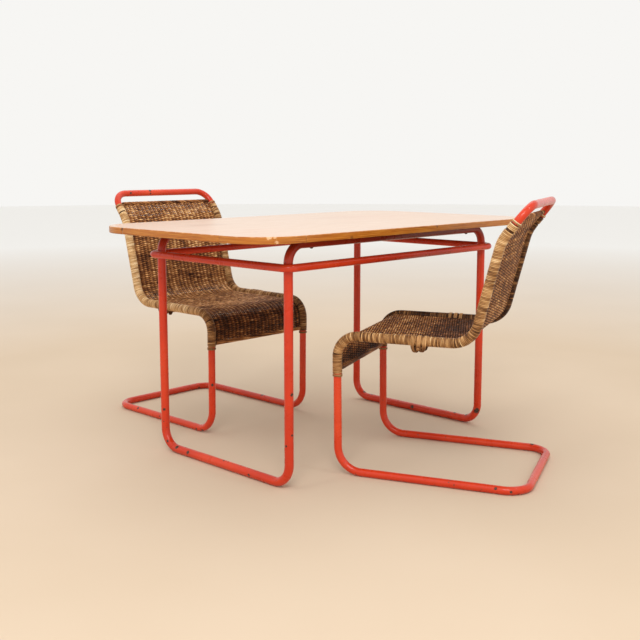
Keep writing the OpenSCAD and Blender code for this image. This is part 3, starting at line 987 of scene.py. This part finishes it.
def side_wrap(chair, spot, name, side):
    """Flat cane wound tightly round a side tube, over an inner layer painted dark as shade in the
    gaps between turns.
    """
    line, normals, s, start, end = side_line(side)
    back, seat, shin = WRAP_LIGHT_AND_SHADE[chair, side]
    surface = Surface()
    at = np.arange(start + 0.6, end - 0.6, 4.0)
    inner = np.stack([np.interp(at, s, line[:, k]) for k in range(3)], -1)
    # The inner layer's dark tone is painted shade for the gaps between the turns
    surface.tube(inner, TUBE_R + WRAP_LAYER, 20, 0.10)
    # Smooth broad turns at the top, then a gap onto the inner layer's painted shade, then fine ones
    # down to the end
    gap = start + rng.uniform(14, 18)
    for first, last, pitch in ((start + 1.6, gap, 3.2), (gap + 3.6, end - 1.3, 3.1)):
        turns = (last - first) / pitch
        n = int(turns * PER_TURN)
        at = np.linspace(first, last, n)
        phase = np.linspace(0, 2 * math.pi * turns, n)
        of_turn = (phase / (2 * math.pi)).astype(int)
        jitter = rng.normal(size=of_turn[-1] + 2)
        slow = smooth_noise(of_turn[-1] + 2, 7)
        # Painted light and shade along the wrap, from the back down to the front
        tone = np.interp(at - start, WRAP_SPANS, (back, seat, seat, shin))
        tone = tone + 0.055 * jitter[of_turn] + 0.03 * slow[of_turn] + 0.11 * smooth_noise(n, 2)
        radius = TUBE_R + WRAP_RIDE + 0.08 * jitter[of_turn]
        wide = pitch / 2 * (0.92 + 0.05 * smooth_noise(n, 20))
        coil(surface, line, normals, s, at, phase, radius, wide, WRAP_THICK, tone, 8, 0.30)
    stands_for = [f"{chair}_side_wrap_{name}"]
    surface.piece(f"{chair}_wrap_{name}", spot, chair, [WRAP], stands_for)


def collars(chair, spot):
    """Turns of round light cane that bind each end of the side wraps."""
    surface = Surface()
    turns, n = 3.4, 70
    lights = (0.92, 0.50) if chair == "front_chair" else (0.55, 0.32)
    for side in (-1, 1):
        line, normals, s, start, end = side_line(side)
        for first, light in zip((start - COLLAR_LEN, end + 0.1), lights):
            at = np.linspace(first + 1.25, first + COLLAR_LEN - 1.35, n)
            phase = np.linspace(0, 2 * math.pi * turns, n) + 1.0
            fade = np.clip((phase / (2 * math.pi) - 1.2) / 0.3, 0, 1)
            tone = light - (light - 0.25) * 0.6 * fade + 0.06 * smooth_noise(n, 6)
            coil(surface, line, normals, s, at, phase, TUBE_R + 1.2, 0.95, 1.1, tone, 8, 0.15)
    stands_for = [f"{chair}_wrap_collars"]
    surface.piece(f"{chair}_collar_canes", spot, chair, [LIGHT], stands_for)


def twisted(surface, at, strands, pitch, offset, wide, thick, base, half):
    """Strands laid round a rod along X with a long twist."""
    n = int(2 * half / 3.0)
    x = np.linspace(-half, half, n)
    for k in range(strands):
        phase = 2 * math.pi * (x / pitch + k / strands)
        out = np.stack([np.zeros(n), np.cos(phase), np.sin(phase)], -1)
        line = np.stack([x, np.full(n, at[1]), np.full(n, at[2])], -1)
        r = offset + 0.08 * smooth_noise(n, 6)
        tone = base + 0.06 * rng.normal() + 0.09 * smooth_noise(n, 6)
        surface.strand(line + out * r[:, None], out, wide, thick, 8, tone)


def borders(chair, spot):
    """The twisted edge at each end of the panel, steep on the back and almost straight in front."""
    apron_tone = 0.55 if chair == "rear_chair" else 0.50
    for name, at, strands, pitch, offset, wide, thick, base in (
        ("back", BACK_ROD, 4, 52, 3.75, 2.35, 1.75, 0.50),
        ("apron", APRON_ROD, 8, 340, 4.35, 1.72, 1.15, apron_tone),
    ):
        surface = Surface()
        twisted(surface, at, strands, pitch, offset, wide, thick, base, BORDER_HALF - 0.4)
        stands_for = [f"{chair}_{name}_border"]
        surface.piece(f"{chair}_{name}_plait", spot, chair, [WEFT], stands_for)


def seat_rod(chair, spot):
    """A cane pole with slightly swollen joints under the seat rails."""
    reach, n = HALF_W + SEAT_ROD_OVER, 120
    x = np.linspace(-reach, reach, n)
    z = SEAT_Z - WRAP_R - SEAT_ROD_R
    line = np.stack([x, np.full(n, float(SEAT_ROD_Y)), np.full(n, z)], -1)
    fat = np.full(n, SEAT_ROD_R - 0.25)
    for joint in (-128, -52, 31, 109):
        fat += 0.22 * np.exp(-(((x - joint) / 2.2) ** 2))
    ease = np.clip((reach - np.abs(x)) / 3, 0, 1)
    fat *= 0.55 + 0.45 * np.sqrt(ease * (2 - ease))
    surface = Surface()
    surface.strand(line, np.broadcast_to([0, 0, 1.0], line.shape), fat, fat, 20, 0.42)
    surface.piece(f"{chair}_seat_pole", spot, chair, [WRAP], [f"{chair}_seat_rod"])


def closed_curve(knots, per=7):
    """A closed Catmull-Rom curve through the knots."""
    k = np.array(knots, float)
    out = []
    for i in range(len(k)):
        a, b, c, d = k[i - 1], k[i], k[(i + 1) % len(k)], k[(i + 2) % len(k)]
        for t in np.arange(per) / per:
            out.append(0.5 * (2 * b + (c - a) * t + (2 * a - 5 * b + 4 * c - d) * t**2
                              + (3 * b - a - 3 * c + d) * t**3))
    return np.array(out)


# How low the loops reach round the pole, from the rail's centreline
LASH_LOW = -WRAP_R - 2 * SEAT_ROD_R - 4.2
# Each bundle of loops: its place along the rail from the pole, its loops' half widths on the
# rail, and how much higher it ends
BUNDLES = ((6.4, (4.2, 6.9, 9.6), 0.0), (-7.6, (3.6, 6.2, 8.8), 1.6))


def lashings(chair, spot):
    """Two bundles of loops over each seat rail, one on each side of the pole's end."""
    surface = Surface()
    for side in (-1, 1):
        for shift, spans, sink in BUNDLES:
            middle = np.array([side * HALF_W, SEAT_ROD_Y + shift, SEAT_Z])
            for k, a in enumerate(spans):
                r, z = WRAP_R + 0.35, LASH_LOW + 1.5 + sink + 1.1 * (len(spans) - 1 - k)
                knots = []
                for way in (1, -1):
                    knots += [(-r * way, way * a, -1.5), (-r * 0.72 * way, way * a, r * 0.70),
                              (0, way * a, r), (r * 0.72 * way, way * a, r * 0.70),
                              (r * way, way * a, -1.5), (r * 1.02 * way, way * a * 0.94, -10),
                              (r * 0.86 * way, way * a * 0.55, z + 1.8),
                              (r * 0.72 * way, 0, z),
                              (r * 0.86 * way, -way * a * 0.55, z + 1.8),
                              (r * 1.02 * way, -way * a * 0.94, -10)]
                line = closed_curve(knots) + middle
                out = unit(line - middle + [0, 0, 6])
                lower = np.clip((middle[2] - 4 - line[:, 2]) / 8, 0, 1)
                # The loops darken towards their lower ends, as painted shade under the seat rail
                tone = 0.60 - 0.30 * lower + 0.06 * smooth_noise(len(line), 5)
                wide, thick = 1.35 + 0.35 * lower, 0.7 + 0.75 * lower
                surface.strand(line, out, wide, thick, 8, tone, closed=True, edge=0.25)
    surface.piece(f"{chair}_lashing_canes", spot, chair, [WRAP], [f"{chair}_rod_lashings"])


table_top()
table_frame()
brazing()
screws()
for chair, spot in CHAIRS.items():
    frame_tubes(chair, spot)
    weft(chair, spot)
    stakes(chair, spot)
    side_wrap(chair, spot, "left", -1)
    side_wrap(chair, spot, "right", 1)
    collars(chair, spot)
    borders(chair, spot)
    seat_rod(chair, spot)
    lashings(chair, spot)

# CAD nodes that stay as they are get their finish here
FINISH = {"top_core": BOARD, "table_frame_plugs": STEEL}
for chair in CHAIRS:
    FINISH[f"{chair}_frame_plugs"] = STEEL
    FINISH[f"{chair}_apron_rod"] = PAINTED_SHADE_CORE
    FINISH[f"{chair}_back_rod"] = PAINTED_SHADE_CORE
for name, material in FINISH.items():
    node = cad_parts[name]
    node.data.materials.clear()
    node.data.materials.append(material)


# ---- Stage, light and camera ----


def stage():
    """A round floor, sandy near the object and almost white far off."""
    g = Graph("plain_floor")
    at = g.place()
    near = g.ramp(g.noise(at, 1.5, 3), (0.3, (0.62, 0.49, 0.36)), (0.7, (0.65, 0.52, 0.39)))
    far = g.gap(at, (0, 0, 0))
    colour = g.mix(g.remap(far, 1.5, 6.0), near, (0.93, 0.92, 0.90))
    material = g.finish(colour, 0.85, Specular_IOR_Level=0.15)
    mesh = bpy.data.meshes.new("floor")
    n, radius, drop = 96, 14.0, 0.0002
    turns = [2 * math.pi * k / n for k in range(n)]
    ring = [(radius * math.cos(a), radius * math.sin(a), -drop) for a in turns]
    mesh.from_pydata(ring, [], [list(range(n))])
    mesh.materials.append(material)
    floor = bpy.data.objects.new("floor", mesh)
    bpy.context.scene.collection.objects.link(floor)


LIGHTS_AIM = Vector((0, 0, 0.35))


def light(name, at, size, energy, colour):
    """A round lamp, turned towards the middle of the object."""
    data = bpy.data.lights.new(name, "AREA")
    data.shape = "DISK"
    data.size = size
    data.energy = energy
    data.color = colour
    lamp = bpy.data.objects.new(name, data)
    lamp.location = at
    aim = LIGHTS_AIM - lamp.location
    lamp.rotation_euler = aim.to_track_quat("-Z", "Y").to_euler()
    bpy.context.scene.collection.objects.link(lamp)


stage()
# The two small ones give the tubes their narrow highlights
light("key", (-2.2, -1.9, 2.6), 1.5, 54, (1.0, 0.985, 0.96))
light("left_glint", (-2.54, 0.24, 2.49), 0.35, 6, (1.0, 1.0, 1.0))
light("right_glint", (0.13, -2.43, 2.49), 0.35, 6, (1.0, 1.0, 1.0))
light("over", (0.8, 0.9, 2.9), 2.8, 18, (1.0, 0.99, 0.97))

world = bpy.data.worlds.new("studio")
bpy.context.scene.world = world
world.use_nodes = True
backdrop = world.node_tree.nodes["Background"]
backdrop.inputs["Color"].default_value = (1.0, 0.99, 0.965, 1)
backdrop.inputs["Strength"].default_value = 0.93

# The camera, as fitted to the photograph
camera = bpy.data.cameras.new("camera")
camera.lens = 52.82
camera.sensor_width = 36
camera.shift_y = -0.0448
view = bpy.data.objects.new("camera", camera)
view.location = (-1.71698, -1.62815, 0.69604)
view.rotation_euler = (math.radians(82.2493), 0, math.radians(-46.485))
bpy.context.scene.collection.objects.link(view)
bpy.context.scene.camera = view
# The default transform washes the reds and browns out
bpy.context.scene.view_settings.view_transform = "Standard"
